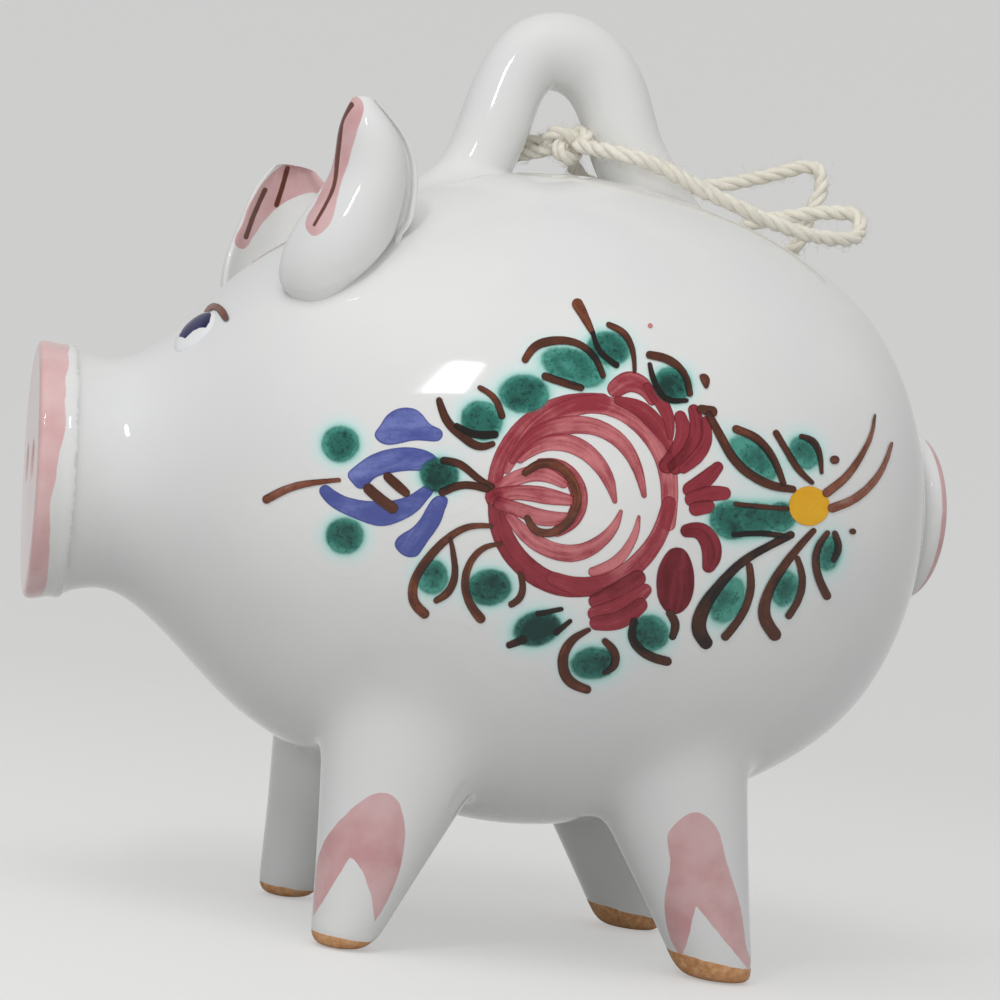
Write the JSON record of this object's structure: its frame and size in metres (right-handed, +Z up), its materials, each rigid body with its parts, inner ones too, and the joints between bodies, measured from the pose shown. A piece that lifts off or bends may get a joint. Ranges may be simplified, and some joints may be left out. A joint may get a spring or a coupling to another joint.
{
  "type": "pig figurine",
  "caption": "Hand-made glazed ceramic pig with painted flower sprays, splayed cone legs, cupped ears, a curled tail and a clay loop with tied twine on its back.",
  "frame": {"origin": "on the floor, under the middle of the length from snout to tail", "axes": "+Z up; the snout points to -X and the tail to +X; the pig's left flank, the one in the picture, faces -Y"},
  "size_m": [0.0956, 0.0668, 0.0956],
  "materials": {
    "glaze": "glossy tin glaze with painted flower sprays",
    "pink_glaze": "glossy glaze, pink wash at the snout",
    "legs_glaze": "glossy glaze, bare orange clay at the feet",
    "twine": "twisted cotton twine, fuzzy"
  },
  "bodies": {
    "pig": {"body_shell": "glaze", "snout_disc": "pink_glaze", "leg_front_left": "legs_glaze", "leg_front_right": "legs_glaze", "leg_rear_left": "legs_glaze", "leg_rear_right": "legs_glaze", "ear_left": "glaze", "ear_right": "glaze", "handle_loop": "glaze", "tail_curl": "glaze", "twine_knot": "twine", "twine_ends": "twine"},
    "twine": {"twine_loop": "twine"}
  },
  "joints": [
    {"name": "twine_swing", "type": "hinge", "parent": "pig", "child": "twine", "pos_m": [0.00268, -0.0005, 0.08208], "axis": [0, -1, 0], "range_deg": [0, 90]}
  ]
}
